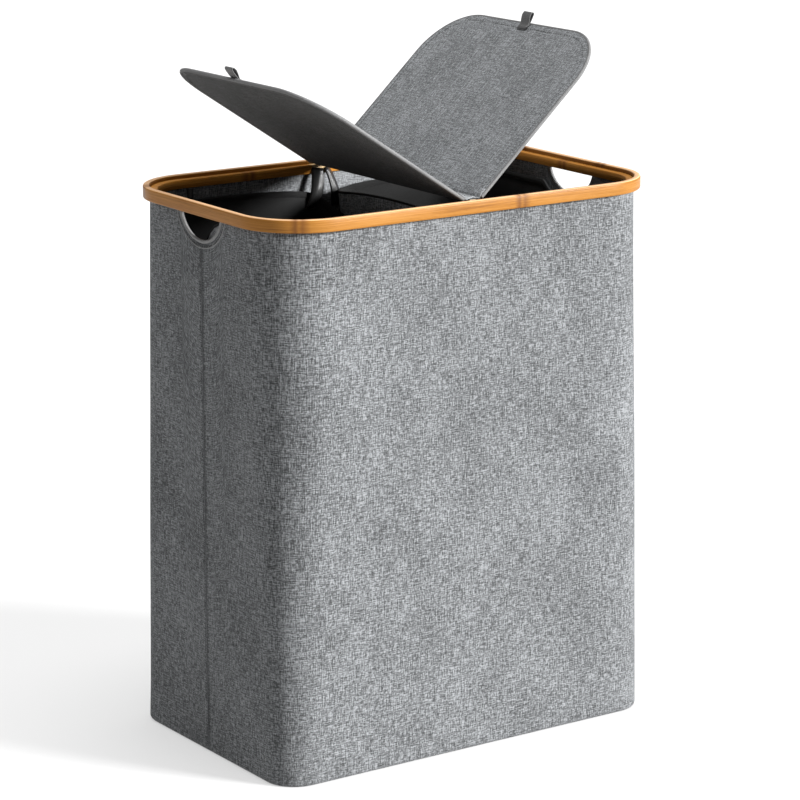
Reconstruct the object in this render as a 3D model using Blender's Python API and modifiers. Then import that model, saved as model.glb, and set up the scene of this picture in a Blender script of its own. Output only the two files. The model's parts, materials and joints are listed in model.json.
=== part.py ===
"""Laundry hamper with a two-flap lid, a bamboo rim and two liner bags.

Metres, +Z up. The origin is the middle of the underside, +X runs along the long
side and -Y is the front. The lid's two flaps stand part open.
"""
import math

import bmesh
import bpy

# Overall size
RIM_LENGTH = 0.523
RIM_DEPTH = 0.333
HEIGHT = 0.630
RIM_RADIUS = 0.076
BASE_RADIUS_LOSS = 0.030
GAP = 0.0003
WELD = 0.00001
ARC_STEPS = 7

# Bamboo rim: an outer hoop, and L-shaped ledge strips that clamp the walls to it
HOOP_THICKNESS = 0.0076
HOOP_HEIGHT = 0.0145
HOOP_BEVEL = 0.0016
LEDGE_THICKNESS = 0.003
LEDGE_DROP = 0.0045
LEDGE_INSET = 0.0165
LEDGE_END = 0.0120
HOOP_BOTTOM = HEIGHT - HOOP_HEIGHT
LEDGE_TOP = HEIGHT - LEDGE_DROP

# Walls, from the outside in; each inset is measured from the hoop's outer face
WALL_INSET = HOOP_THICKNESS + GAP
FABRIC = 0.0009
BOARD = 0.0012
LINING = 0.0006
BOARD_INSET = WALL_INSET + FABRIC + GAP
LINING_INSET = BOARD_INSET + BOARD + GAP
WALL_TOP = LEDGE_TOP - LEDGE_THICKNESS - GAP
WALL_ROWS = 2
BOARD_MARGIN = 0.006

# Base
BASE_FABRIC = 0.0010
BASE_BOARD = 0.0030
WALL_BOTTOM = BASE_FABRIC + GAP
BASE_BOARD_TOP = WALL_BOTTOM + BASE_BOARD

# Handle holes: half ellipses that hang from the wall's top edge
NOTCH_HALF_WIDTH = 0.0437
NOTCH_DEPTH = 0.0367
NOTCH_STEPS = 7
PIPING_RADIUS = 0.0016
PIPING_OFFSET = 0.0022

# Support rods, in fabric pockets, with plastic sockets on top
ROD_RADIUS = 0.0025
POCKET_RADIUS = 0.0037
POCKET_WALL = 0.0007
ROD_X = 0.1760
ROD_INSET = LINING_INSET + LINING + GAP + POCKET_RADIUS
ROD_BOTTOM = BASE_BOARD_TOP + GAP
ROD_TOP = 0.6085
POCKET_TOP = 0.6000
SOCKET_TOP = HOOP_BOTTOM - GAP
SOCKET_BOTTOM = POCKET_TOP + GAP
SOCKET_WALL = 0.0008

# Liner bags
BAG_INSET = 0.0194
BAG_INNER_X = 0.0040
BAG_WALL = 0.0010
BAG_OUTER_RADIUS = 0.050
BAG_INNER_RADIUS = 0.015
BAG_BOTTOM = BASE_BOARD_TOP + 0.0012
BAG_TOP_OUTER = 0.6115
BAG_TOP_INNER = 0.6000
BAG_NOTCH_MARGIN = 0.0025
HEM_THICKNESS = 0.0008
HEM_HEIGHT = 0.010
STRAP_WIDTH = 0.009
STRAP_THICKNESS = 0.0012
STRAP_LOW = 0.5720
STRAP_HIGH = 0.6225
STRAP_X = 0.0150

# Lid: a bar in a fabric sleeve across the middle, and a flap hinged on each side
FLAP_THICKNESS = 0.0040
COVER = 0.0005
LID_HALF_DEPTH = 0.1530
SLEEVE_HALF_WIDTH = 0.0052
BAR_HALF_WIDTH = 0.0043
HINGE_X = 0.0092
HINGE_Z = LEDGE_TOP + GAP + FLAP_THICKNESS / 2
FLAP_START = 0.0037
FLAP_REACH = 0.2423
FLAP_RADIUS = 0.0660
BINDING = 0.0012
LEFT_OPEN = math.radians(33.0)
RIGHT_OPEN = math.radians(42.5)

# Pull tabs: ribbon sewn flat on the flap, then standing up past its end
TAB_WIDTH = 0.012
TAB_THICKNESS = 0.0015
TAB_SEWN_LENGTH = 0.0085
TAB_BEND = 0.2385
TAB_RISE = 0.0095
TAB_RUN = 0.0085

# Colour, roughness and metallic value of each finish
FINISHES = {
    "bamboo": ((0.72, 0.44, 0.20), 0.45, 0.0),
    "grey_linen": ((0.36, 0.36, 0.37), 0.90, 0.0),
    "charcoal_fabric": ((0.06, 0.06, 0.065), 0.90, 0.0),
    "black_lining": ((0.015, 0.015, 0.017), 0.85, 0.0),
    "black_webbing": ((0.012, 0.012, 0.014), 0.80, 0.0),
    "fibreboard": ((0.45, 0.38, 0.28), 0.85, 0.0),
    "steel": ((0.60, 0.60, 0.62), 0.35, 1.0),
    "black_plastic": ((0.02, 0.02, 0.02), 0.50, 0.0),
}


# Scene and object helpers

def clear_scene():
    for old in list(bpy.data.objects):
        bpy.data.objects.remove(old, do_unlink=True)


def new_collection(name):
    collection = bpy.data.collections.new(name)
    bpy.context.scene.collection.children.link(collection)
    return collection


def add(name, data, finish):
    """Link a new object to the hamper's collection and give it its material."""
    piece = bpy.data.objects.new(name, data)
    bpy.data.collections["laundry_hamper"].objects.link(piece)
    colour, roughness, metallic = FINISHES[finish]
    material = bpy.data.materials.new(name)
    material.use_nodes = True
    shader = material.node_tree.nodes["Principled BSDF"]
    shader.inputs["Base Color"].default_value = (*colour, 1.0)
    shader.inputs["Roughness"].default_value = roughness
    shader.inputs["Metallic"].default_value = metallic
    data.materials.append(material)
    return piece


def add_mesh(name, shape, finish):
    """Turn a bmesh into an object and free the bmesh."""
    mesh = bpy.data.meshes.new(name)
    shape.to_mesh(mesh)
    shape.free()
    return add(name, mesh, finish)


def solidify(piece, thickness, offset):
    """Thicken a surface: offset -1 grows behind its faces and +1 in front of them."""
    shell = piece.modifiers.new("Thickness", "SOLIDIFY")
    shell.thickness = thickness
    shell.offset = offset
    shell.use_even_offset = True
    return piece


def grid_surface(name, columns, rows, place, finish, closed=False):
    """A grid whose points go where place(column, row) says; a closed one is a ring."""
    shape = bmesh.new()
    bmesh.ops.create_grid(shape, x_segments=columns, y_segments=rows, size=1.0)
    for vert in shape.verts:
        column = round((vert.co.x + 1.0) / 2.0 * columns)
        row = round((vert.co.y + 1.0) / 2.0 * rows)
        vert.co = place(column % columns if closed else column, row)
    if closed:
        bmesh.ops.remove_doubles(shape, verts=shape.verts, dist=WELD)
    return add_mesh(name, shape, finish)


def plate(name, outline, thickness, finish):
    """A flat plate in its own XY plane, centred on z = 0."""
    curve = bpy.data.curves.new(name, "CURVE")
    curve.dimensions = "2D"
    curve.fill_mode = "BOTH"
    curve.extrude = thickness / 2
    spline = curve.splines.new("POLY")
    spline.points.add(len(outline) - 1)
    for point, (x, y) in zip(spline.points, outline):
        point.co = (x, y, 0.0, 1.0)
    spline.use_cyclic_u = True
    return add(name, curve, finish)


def block(name, low, high, finish):
    """A rectangular block between two corners."""
    shape = bmesh.new()
    bmesh.ops.create_cube(shape, size=1.0)
    size = [b - a for a, b in zip(low, high)]
    middle = [(a + b) / 2 for a, b in zip(low, high)]
    bmesh.ops.scale(shape, vec=size, verts=shape.verts)
    bmesh.ops.translate(shape, vec=middle, verts=shape.verts)
    return add_mesh(name, shape, finish)


# Outlines, counterclockwise as seen from above

def arc(centre_x, centre_y, radius, start):
    """Points of a quarter circle, counterclockwise from the angle start."""
    points = []
    for step in range(ARC_STEPS + 1):
        angle = start + math.pi / 2 * step / ARC_STEPS
        points.append((centre_x + radius * math.cos(angle), centre_y + radius * math.sin(angle)))
    return points


def turned(points):
    """The same outline turned half round about the origin."""
    return [(-x, -y) for x, y in points]


def half_size(inset):
    return RIM_LENGTH / 2 - inset, RIM_DEPTH / 2 - inset


def notch_stations():
    """Distances from a handle hole's middle to its end, close together near the end."""
    return [NOTCH_HALF_WIDTH * math.sin(math.pi / 2 * k / NOTCH_STEPS) for k in range(1, NOTCH_STEPS + 1)]


def back_outline(inset, radius, seam):
    """The back half, from the right side seam to the left one."""
    half_x, half_y = half_size(inset)
    side = [(half_x, y) for y in [seam] + notch_stations()]
    right = arc(half_x - radius, half_y - radius, radius, 0.0)
    left = arc(radius - half_x, half_y - radius, radius, math.pi / 2)
    return side + right + left + [(-x, y) for x, y in reversed(side)]


def ring_outline(inset, radius):
    """The whole way round, with a point at each side seam."""
    back = back_outline(inset, radius, 0.0)
    return back[:-1] + turned(back[:-1])


def right_outline(inset, start_x):
    """The right half of a rim strip, from the front middle to the back middle."""
    half_x, half_y = half_size(inset)
    radius = RIM_RADIUS - inset
    front = arc(half_x - radius, radius - half_y, radius, -math.pi / 2)
    back = arc(half_x - radius, half_y - radius, radius, 0.0)
    return [(start_x, -half_y)] + front + back + [(start_x, half_y)]


def base_outline(inset):
    half_x, half_y = half_size(inset)
    radius = RIM_RADIUS - BASE_RADIUS_LOSS - inset
    back = arc(half_x - radius, half_y - radius, radius, 0.0)
    back += arc(radius - half_x, half_y - radius, radius, math.pi / 2)
    return back + turned(back)


def bag_outline(inset):
    """The right liner bag, from the middle of its outer side."""
    half_x, half_y = half_size(BAG_INSET + inset)
    inner_x = BAG_INNER_X + inset
    outer = BAG_OUTER_RADIUS - inset
    inner = BAG_INNER_RADIUS - inset
    stations = notch_stations()
    points = [(half_x, y) for y in [0.0] + stations]
    points += arc(half_x - outer, half_y - outer, outer, 0.0)
    points += arc(inner_x + inner, half_y - inner, inner, math.pi / 2)
    points += arc(inner_x + inner, inner - half_y, inner, math.pi)
    points += arc(half_x - outer, outer - half_y, outer, math.pi * 3 / 2)
    return points + [(half_x, -y) for y in reversed(stations)]


def flap_outline(inset, side):
    """A flap lying flat, with its hinge edge near x = 0; side is 1 right, -1 left."""
    end = FLAP_REACH - inset
    half_y = LID_HALF_DEPTH - inset
    radius = FLAP_RADIUS - inset
    points = [(FLAP_START, -half_y)]
    points += arc(end - radius, radius - half_y, radius, -math.pi / 2)
    points += arc(end - radius, half_y - radius, radius, 0.0)
    points += [(FLAP_START, half_y)]
    return points if side > 0 else turned(points)


def notch_height(y, margin):
    """Height of a handle hole's edge at y, for a hole larger by margin; None outside it."""
    share = y / (NOTCH_HALF_WIDTH + margin)
    if abs(share) >= 1.0:
        return None
    return WALL_TOP - (NOTCH_DEPTH + margin) * math.sqrt(1.0 - share * share)


# Rim

def make_hoop():
    outline = ring_outline(0.0, RIM_RADIUS)

    def place(column, row):
        return (*outline[column], (HOOP_BOTTOM, HEIGHT)[row])

    hoop = grid_surface("rim_hoop", len(outline), 1, place, "bamboo", closed=True)
    solidify(hoop, HOOP_THICKNESS, -1.0)
    rounding = hoop.modifiers.new("Rounding", "BEVEL")
    rounding.width = HOOP_BEVEL
    rounding.segments = 2
    rounding.limit_method = "ANGLE"
    rounding.angle_limit = math.radians(60.0)


def ledge_strip(name, paths):
    """An L-shaped strip: paths are its lower edge, its inner corner and its outer edge."""
    heights = (HOOP_BOTTOM, LEDGE_TOP, LEDGE_TOP)

    def place(column, row):
        return (*paths[row][column], heights[row])

    strip = grid_surface(name, len(paths[0]) - 1, 2, place, "bamboo")
    solidify(strip, LEDGE_THICKNESS, 1.0)


def make_ledge():
    inner = right_outline(LEDGE_INSET, LEDGE_END)
    outer = right_outline(WALL_INSET, LEDGE_END)
    ledge_strip("rim_ledge_right", (inner, inner, outer))
    ledge_strip("rim_ledge_left", (turned(inner), turned(inner), turned(outer)))
    end = LEDGE_END - GAP
    inner_y = half_size(LEDGE_INSET)[1]
    outer_y = half_size(WALL_INSET)[1]
    back_inner = [(end, inner_y), (-end, inner_y)]
    back_outer = [(end, outer_y), (-end, outer_y)]
    ledge_strip("rim_saddle_back", (back_inner, back_inner, back_outer))
    ledge_strip("rim_saddle_front", (turned(back_inner), turned(back_inner), turned(back_outer)))


# Walls and base

def wall_place(low, high):
    """Point placer for a wall between its floor outline and its top outline."""
    half_x = max(x for x, _ in high)

    def place(column, row):
        share = row / WALL_ROWS
        x0, y0 = low[column]
        x1, y1 = high[column]
        top = WALL_TOP
        if half_x - abs(x1) < WELD:
            top = notch_height(y1, 0.0) or WALL_TOP
        x = x0 + (x1 - x0) * share
        y = y0 + (y1 - y0) * share
        return (x, y, WALL_BOTTOM + (top - WALL_BOTTOM) * share)

    return place


def make_wall_fabric():
    top_radius = RIM_RADIUS - WALL_INSET
    low = back_outline(WALL_INSET, top_radius - BASE_RADIUS_LOSS, GAP / 2)
    high = back_outline(WALL_INSET, top_radius, GAP / 2)
    columns = len(low) - 1
    back = grid_surface("wall_fabric_back", columns, WALL_ROWS, wall_place(low, high), "grey_linen")
    solidify(back, FABRIC, -1.0)
    place = wall_place(turned(low), turned(high))
    front = grid_surface("wall_fabric_front", columns, WALL_ROWS, place, "grey_linen")
    solidify(front, FABRIC, -1.0)


def make_wall_lining():
    top_radius = RIM_RADIUS - LINING_INSET
    low = ring_outline(LINING_INSET, top_radius - BASE_RADIUS_LOSS)
    high = ring_outline(LINING_INSET, top_radius)
    place = wall_place(low, high)
    lining = grid_surface("wall_lining", len(low), WALL_ROWS, place, "grey_linen", closed=True)
    solidify(lining, LINING, -1.0)


def make_wall_boards():
    """Flat stiffeners between the fabric and the lining, on the walls' flat stretches."""
    half_x, half_y = half_size(BOARD_INSET + BOARD / 2)
    low = WALL_BOTTOM + BOARD_MARGIN
    high = WALL_TOP - BOARD_MARGIN
    wide = RIM_LENGTH / 2 - RIM_RADIUS - BOARD_MARGIN
    for name, y in (("wall_board_front", -half_y), ("wall_board_back", half_y)):
        outline = [(-wide, low), (wide, low), (wide, high), (-wide, high)]
        board = plate(name, outline, BOARD, "fibreboard")
        board.rotation_euler = (math.pi / 2, 0.0, 0.0)
        board.location = (0.0, y, 0.0)
    narrow = RIM_DEPTH / 2 - RIM_RADIUS - BOARD_MARGIN
    edge = NOTCH_HALF_WIDTH + BOARD_MARGIN
    steps = 2 * NOTCH_STEPS
    for name, x in (("wall_board_left", -half_x), ("wall_board_right", half_x)):
        outline = [(-narrow, low), (narrow, low), (narrow, high)]
        for step in range(1, steps):
            y = edge * math.cos(math.pi * step / steps)
            outline.append((y, min(high, notch_height(y, BOARD_MARGIN))))
        outline.append((-narrow, high))
        board = plate(name, outline, BOARD, "fibreboard")
        board.rotation_euler = (math.pi / 2, 0.0, math.pi / 2)
        board.location = (x, 0.0, 0.0)


def make_base():
    fabric = plate("base_fabric", base_outline(WALL_INSET), BASE_FABRIC, "grey_linen")
    fabric.location.z = BASE_FABRIC / 2
    board = plate("base_board", base_outline(LINING_INSET + LINING + GAP), BASE_BOARD, "fibreboard")
    board.location.z = WALL_BOTTOM + BASE_BOARD / 2


def make_handle_piping():
    """A rolled edge inside each handle hole."""
    half_x = half_size(WALL_INSET + (LINING_INSET + LINING - WALL_INSET) / 2)[0]
    steps = 2 * NOTCH_STEPS
    for name, x in (("handle_piping_left", -half_x), ("handle_piping_right", half_x)):
        curve = bpy.data.curves.new(name, "CURVE")
        curve.dimensions = "3D"
        curve.bevel_depth = PIPING_RADIUS
        curve.bevel_resolution = 2
        curve.use_fill_caps = True
        spline = curve.splines.new("POLY")
        spline.points.add(steps)
        for step, point in enumerate(spline.points):
            angle = math.pi * step / steps
            y = (NOTCH_HALF_WIDTH - PIPING_OFFSET) * math.cos(angle)
            z = WALL_TOP - PIPING_RADIUS - (NOTCH_DEPTH - PIPING_OFFSET - PIPING_RADIUS) * math.sin(angle)
            point.co = (x, y, z, 1.0)
        add(name, curve, "grey_linen")


# Support rods

def make_rod(name, x, y):
    shape = bmesh.new()
    length = ROD_TOP - ROD_BOTTOM
    bmesh.ops.create_cone(shape, cap_ends=True, segments=12, radius1=ROD_RADIUS, radius2=ROD_RADIUS, depth=length)
    rod = add_mesh("rod_" + name, shape, "steel")
    rod.location = (x, y, ROD_BOTTOM + length / 2)


def make_rod_pocket(name, x, y):
    shape = bmesh.new()
    length = POCKET_TOP - ROD_BOTTOM
    radius = POCKET_RADIUS
    bmesh.ops.create_cone(shape, cap_ends=False, segments=16, radius1=radius, radius2=radius, depth=length)
    pocket = add_mesh("rod_pocket_" + name, shape, "black_lining")
    pocket.location = (x, y, ROD_BOTTOM + length / 2)
    solidify(pocket, POCKET_WALL, -1.0)


def make_rod_socket(name, x, y):
    """A cap over the rod's end, turned from its half section."""
    bore = ROD_RADIUS + GAP
    roof = ROD_TOP + GAP
    outside = bore + SOCKET_WALL
    section = [(0.0, SOCKET_TOP), (outside, SOCKET_TOP), (outside, SOCKET_BOTTOM)]
    section += [(bore, SOCKET_BOTTOM), (bore, roof), (0.0, roof)]
    shape = bmesh.new()
    corners = [shape.verts.new((radius, 0.0, z)) for radius, z in section]
    for first, second in zip(corners, corners[1:]):
        shape.edges.new((first, second))
    socket = add_mesh("rod_socket_" + name, shape, "black_plastic")
    socket.location = (x, y, 0.0)
    turn = socket.modifiers.new("Turn", "SCREW")
    turn.steps = 16
    turn.render_steps = 16
    turn.use_merge_vertices = True
    turn.merge_threshold = WELD


def make_rods():
    y = half_size(ROD_INSET)[1]
    places = {
        "front_left": (-ROD_X, -y),
        "front_right": (ROD_X, -y),
        "back_left": (-ROD_X, y),
        "back_right": (ROD_X, y),
    }
    for name, (rod_x, rod_y) in places.items():
        make_rod(name, rod_x, rod_y)
        make_rod_pocket(name, rod_x, rod_y)
        make_rod_socket(name, rod_x, rod_y)


# Liner bags

def bag_top(x, y, outer_x):
    """Height of a bag's top edge: it droops towards the middle and clears the handle hole."""
    share = (abs(x) - BAG_INNER_X) / (outer_x - BAG_INNER_X)
    top = BAG_TOP_INNER + (BAG_TOP_OUTER - BAG_TOP_INNER) * share
    if outer_x - abs(x) < WELD:
        top = min(top, notch_height(y, BAG_NOTCH_MARGIN) or top)
    return top


def make_bag(name, outline):
    """An open-topped fabric box: a floor face whose edges are drawn up into walls."""
    shape = bmesh.new()
    floor = shape.faces.new([shape.verts.new((x, y, BAG_BOTTOM)) for x, y in outline])
    floor.normal_flip()
    walls = bmesh.ops.extrude_edge_only(shape, edges=list(shape.edges))
    outer_x = max(abs(x) for x, _ in outline)
    for item in walls["geom"]:
        if isinstance(item, bmesh.types.BMVert):
            item.co.z = bag_top(item.co.x, item.co.y, outer_x)
    bag = add_mesh(name, shape, "black_lining")
    solidify(bag, BAG_WALL, -1.0)


def make_hem(name, outline):
    outer_x = max(abs(x) for x, _ in outline)

    def place(column, row):
        x, y = outline[column]
        return (x, y, bag_top(x, y, outer_x) - HEM_HEIGHT * (1 - row))

    hem = grid_surface(name, len(outline), 1, place, "black_webbing", closed=True)
    solidify(hem, HEM_THICKNESS, -1.0)


def make_bags():
    right = bag_outline(0.0)
    right_hem = bag_outline(BAG_WALL + GAP)
    make_bag("liner_bag_right", right)
    make_bag("liner_bag_left", turned(right))
    make_hem("bag_hem_right", right_hem)
    make_hem("bag_hem_left", turned(right_hem))
    near = half_size(BAG_INSET)[1] + GAP
    far = near + STRAP_THICKNESS
    for side, side_name in ((-1, "left"), (1, "right")):
        x_low = side * STRAP_X - STRAP_WIDTH / 2
        x_high = side * STRAP_X + STRAP_WIDTH / 2
        low = (x_low, near, STRAP_LOW)
        high = (x_high, far, STRAP_HIGH)
        block("bag_strap_back_" + side_name, low, high, "black_webbing")
        low = (x_low, -far, STRAP_LOW)
        high = (x_high, -near, STRAP_HIGH)
        block("bag_strap_front_" + side_name, low, high, "black_webbing")


# Lid

def make_lid_centre():
    """The bar across the middle and the fabric sleeve round it."""
    half_z = FLAP_THICKNESS / 2 - COVER - GAP
    low = (-BAR_HALF_WIDTH, -LID_HALF_DEPTH + BINDING, HINGE_Z - half_z)
    high = (BAR_HALF_WIDTH, LID_HALF_DEPTH - BINDING, HINGE_Z + half_z)
    block("lid_bar", low, high, "fibreboard")
    half = FLAP_THICKNESS / 2
    wide = SLEEVE_HALF_WIDTH
    section = [(-wide, -half), (wide, -half), (wide, half), (-wide, half)]

    def place(column, row):
        x, z = section[column]
        return (x, LID_HALF_DEPTH * (1 - 2 * row), HINGE_Z + z)

    sleeve = grid_surface("lid_sleeve", len(section), 1, place, "charcoal_fabric", closed=True)
    solidify(sleeve, COVER, -1.0)


def hinge(name, side, angle):
    """An empty on a flap's hinge axis, turned to the angle at which the flap stands."""
    pivot = bpy.data.objects.new(name, None)
    bpy.data.collections["laundry_hamper"].objects.link(pivot)
    pivot.location = (side * HINGE_X, 0.0, HINGE_Z)
    pivot.rotation_euler = (0.0, -side * angle, 0.0)
    return pivot


def make_binding(name, side):
    """The bound edge: a band round the flap's three free sides."""
    outline = flap_outline(0.0, side)
    half = FLAP_THICKNESS / 2

    def place(column, row):
        return (*outline[column], (-half, half)[row])

    binding = grid_surface(name, len(outline) - 1, 1, place, "charcoal_fabric")
    return solidify(binding, BINDING, -1.0)


def make_pull_tab(name, side):
    """A ribbon sewn flat on the flap's top, then bent up past its end."""
    base = FLAP_THICKNESS / 2 + GAP
    path = [(TAB_BEND - TAB_SEWN_LENGTH, base), (TAB_BEND, base), (TAB_BEND + TAB_RUN, base + TAB_RISE)]

    def place(column, row):
        x, z = path[column]
        return (side * x, side * TAB_WIDTH * (row - 0.5), z)

    tab = grid_surface(name, len(path) - 1, 1, place, "black_webbing")
    return solidify(tab, TAB_THICKNESS, 1.0)


def make_flap(prefix, side, angle):
    """A board between two fabric covers, with a bound edge and a pull tab."""
    pivot = hinge(prefix + "_hinge", side, angle)
    inside = BINDING + GAP
    outline = flap_outline(inside, side)
    board_thickness = FLAP_THICKNESS - 2 * (COVER + GAP)
    cover_z = (FLAP_THICKNESS - COVER) / 2
    board = plate(prefix + "_board", outline, board_thickness, "fibreboard")
    top = plate(prefix + "_cover_top", outline, COVER, "grey_linen")
    under = plate(prefix + "_cover_under", outline, COVER, "charcoal_fabric")
    top.location.z = cover_z
    under.location.z = -cover_z
    binding = make_binding(prefix + "_binding", side)
    tab = make_pull_tab(prefix + "_pull_tab", side)
    for piece in (board, top, under, binding, tab):
        piece.parent = pivot


def make_hamper():
    clear_scene()
    new_collection("laundry_hamper")
    make_hoop()
    make_ledge()
    make_wall_fabric()
    make_wall_boards()
    make_wall_lining()
    make_base()
    make_handle_piping()
    make_rods()
    make_bags()
    make_lid_centre()
    make_flap("left_flap", -1, LEFT_OPEN)
    make_flap("right_flap", 1, RIGHT_OPEN)


make_hamper()
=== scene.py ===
"""The looks of the laundry hamper: bamboo, melange cloth, stitching, bags and lid."""
import json
import math

import bmesh
import bpy
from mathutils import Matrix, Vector


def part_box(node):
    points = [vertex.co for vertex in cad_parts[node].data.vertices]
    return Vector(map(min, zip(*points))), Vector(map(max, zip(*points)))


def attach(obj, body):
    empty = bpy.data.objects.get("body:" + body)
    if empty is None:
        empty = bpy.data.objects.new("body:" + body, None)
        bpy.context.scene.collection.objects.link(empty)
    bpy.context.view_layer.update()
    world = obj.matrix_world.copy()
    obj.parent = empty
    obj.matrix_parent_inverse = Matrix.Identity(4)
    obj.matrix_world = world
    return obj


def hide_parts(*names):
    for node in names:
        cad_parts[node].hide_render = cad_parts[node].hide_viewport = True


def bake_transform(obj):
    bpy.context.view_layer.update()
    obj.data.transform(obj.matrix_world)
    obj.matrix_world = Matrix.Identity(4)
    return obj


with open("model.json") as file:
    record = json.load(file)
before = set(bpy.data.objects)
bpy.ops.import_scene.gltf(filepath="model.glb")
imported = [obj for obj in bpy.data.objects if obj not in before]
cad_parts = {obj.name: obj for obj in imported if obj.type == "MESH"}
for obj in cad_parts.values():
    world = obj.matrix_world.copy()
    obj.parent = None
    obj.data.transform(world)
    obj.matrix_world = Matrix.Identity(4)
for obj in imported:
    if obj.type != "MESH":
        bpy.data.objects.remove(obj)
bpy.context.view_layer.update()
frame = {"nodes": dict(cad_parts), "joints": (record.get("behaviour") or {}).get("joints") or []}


# Sizes in metres, read from the frame where it holds them

HOOP_LOW, HOOP_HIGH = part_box("rim_hoop")
LEDGE_LOW, LEDGE_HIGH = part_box("rim_ledge_right")
WALL_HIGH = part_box("wall_fabric_back")[1]
LINING_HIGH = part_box("wall_lining")[1]
BAG_LOW, BAG_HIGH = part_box("liner_bag_right")
BINDING_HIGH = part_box("right_flap_binding")[1]
JOINTS = {joint["name"]: joint for joint in frame["joints"]}

# An inset is a distance inwards from the hoop's outer face.
RIM_X, RIM_Y, TOP = HOOP_HIGH
HOOP_BOTTOM = HOOP_LOW.z
HOOP_THICKNESS = 0.0076
HOOP_EASING = 0.0019
RIM_RADIUS = 0.076
BASE_RADIUS_LOSS = 0.030
LEDGE_TOP = LEDGE_HIGH.z
LEDGE_END = LEDGE_LOW.x
LEDGE_INSET = 0.0165
LEDGE_THICKNESS = 0.003
LEDGE_EASING = 0.0006

WALL_INSET = RIM_X - WALL_HIGH.x
WALL_TOP = WALL_HIGH.z
WALL_CLOTH = 0.0009
WALL_FOLD = 0.0045
WALL_WAVE = 0.0007
LINING_INSET = RIM_X - LINING_HIGH.x
LINING_CLOTH = 0.0006
BASE_CLOTH = 0.0008
BASE_INSET = WALL_INSET + 0.0042

# The handle holes are half ellipses cut down from the top of the walls.
NOTCH_HALF_WIDTH = 0.0437
NOTCH_DEPTH = 0.0367
PIPING_RADIUS = 0.0021
HOLE_HEM_OFFSET = 0.0066
HOLE_STITCH_OFFSET = 0.0048
SEAM_HALF_GAP = 0.0033
SEAM_LOW = 0.006

BAG_INSET = RIM_X - BAG_HIGH.x
BAG_MIDDLE = 0.123
BAG_CLOTH = 0.0005
BAG_LINING_INSET = BAG_CLOTH + 0.0003
BAG_ROUNDING = 0.010
BAG_OUTER_RADIUS = 0.050
BAG_INNER_RADIUS = {-1: 0.018, 1: 0.040}
BAG_DIVIDER_SAG = {-1: 0.026, 1: -0.013}
HEM_CLOTH = 0.0004

STRAP_HALF_WIDTH = 0.0068
STRAP_THICKNESS = 0.0018
STRAP_BOW = 0.0022
STRAP_TWIST = 0.72

HINGE_X = JOINTS["right_flap_hinge"]["pos_m"][0]
HINGE_Z = JOINTS["right_flap_hinge"]["pos_m"][2]
FLAP_START = 0.0037
FLAP_REACH = 0.2423
FLAP_HALF_DEPTH = BINDING_HIGH.y
FLAP_RADIUS = 0.0660
FLAP_HALF_THICKNESS = 0.0020
FLAP_CLOTH = 0.0005
BORDER_WIDTH = 0.0085
FINE_STEP = 0.0014
FINE_BORDER = 0.0140
BORDER_STITCH = 0.0090
BORDER_PIPING = 0.0034
TAB_LENGTH = 0.0130
TAB_WIDTH = 0.0017
TAB_HALF_DEPTH = 0.0078
TAB_THICKNESS = 0.0006
HINGE_CLOTH = 0.0006
OPEN = {
    -1: math.radians(-JOINTS["left_flap_hinge"]["range_deg"][0]),
    1: math.radians(-JOINTS["right_flap_hinge"]["range_deg"][0]),
}
SIDE_NAMES = {-1: "left", 1: "right"}


# Mesh helpers

def add_object(name, data, material):
    """A visible piece made from a mesh or curve, with one material."""
    piece = bpy.data.objects.new(name, data)
    bpy.context.scene.collection.objects.link(piece)
    data.materials.append(material)
    return piece


def running_length(points):
    """Distance along a row of points, from the first of them."""
    lengths = [0.0]
    for first, second in zip(points, points[1:]):
        lengths.append(lengths[-1] + (Vector(second) - Vector(first)).length)
    return lengths


def grid_mesh(name, rows, closed=False, cap=False):
    """A mesh from rows of points, with UVs in metres; closed joins each row's ends."""
    count = len(rows[0])
    verts = [point for row in rows for point in row]
    across = running_length(rows[len(rows) // 2] + (rows[len(rows) // 2][:1] if closed else []))
    along = running_length([row[count // 3] for row in rows])
    faces = []
    uvs = []
    last = count if closed else count - 1
    for r in range(len(rows) - 1):
        for c in range(last):
            d = (c + 1) % count
            faces.append((r * count + c, r * count + d, (r + 1) * count + d, (r + 1) * count + c))
            uvs += [(across[c], along[r]), (across[c + 1], along[r])]
            uvs += [(across[c + 1], along[r + 1]), (across[c], along[r + 1])]
    if cap:
        for start, turn in ((0, -1), ((len(rows) - 1) * count, 1)):
            face = tuple(range(start, start + count))[::turn]
            faces.append(face)
            uvs += [(verts[v][1], verts[v][2]) for v in face]
    mesh = bpy.data.meshes.new(name)
    mesh.from_pydata(verts, [], faces)
    layer = mesh.uv_layers.new(name="UVMap")
    for corner, uv in zip(layer.data, uvs):
        corner.uv = uv
    mesh.shade_smooth()
    return mesh


def fill_hole(mesh, middle, facing_out):
    """Closes the small hole round a middle point, and can turn every face outwards."""
    shape = bmesh.new()
    shape.from_mesh(mesh)
    near = [e for e in shape.edges if e.is_boundary and (e.verts[0].co - middle).length < 0.05]
    bmesh.ops.holes_fill(shape, edges=near)
    if facing_out:
        bmesh.ops.recalc_face_normals(shape, faces=shape.faces)
    shape.to_mesh(mesh)
    shape.free()


def thicken(piece, thickness, offset=-1.0):
    """Gives a sheet its thickness: offset -1 is behind its face, 1 in front, 0 both ways."""
    shell = piece.modifiers.new("Thickness", "SOLIDIFY")
    shell.thickness = thickness
    shell.offset = offset
    shell.use_even_offset = True
    return piece


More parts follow.
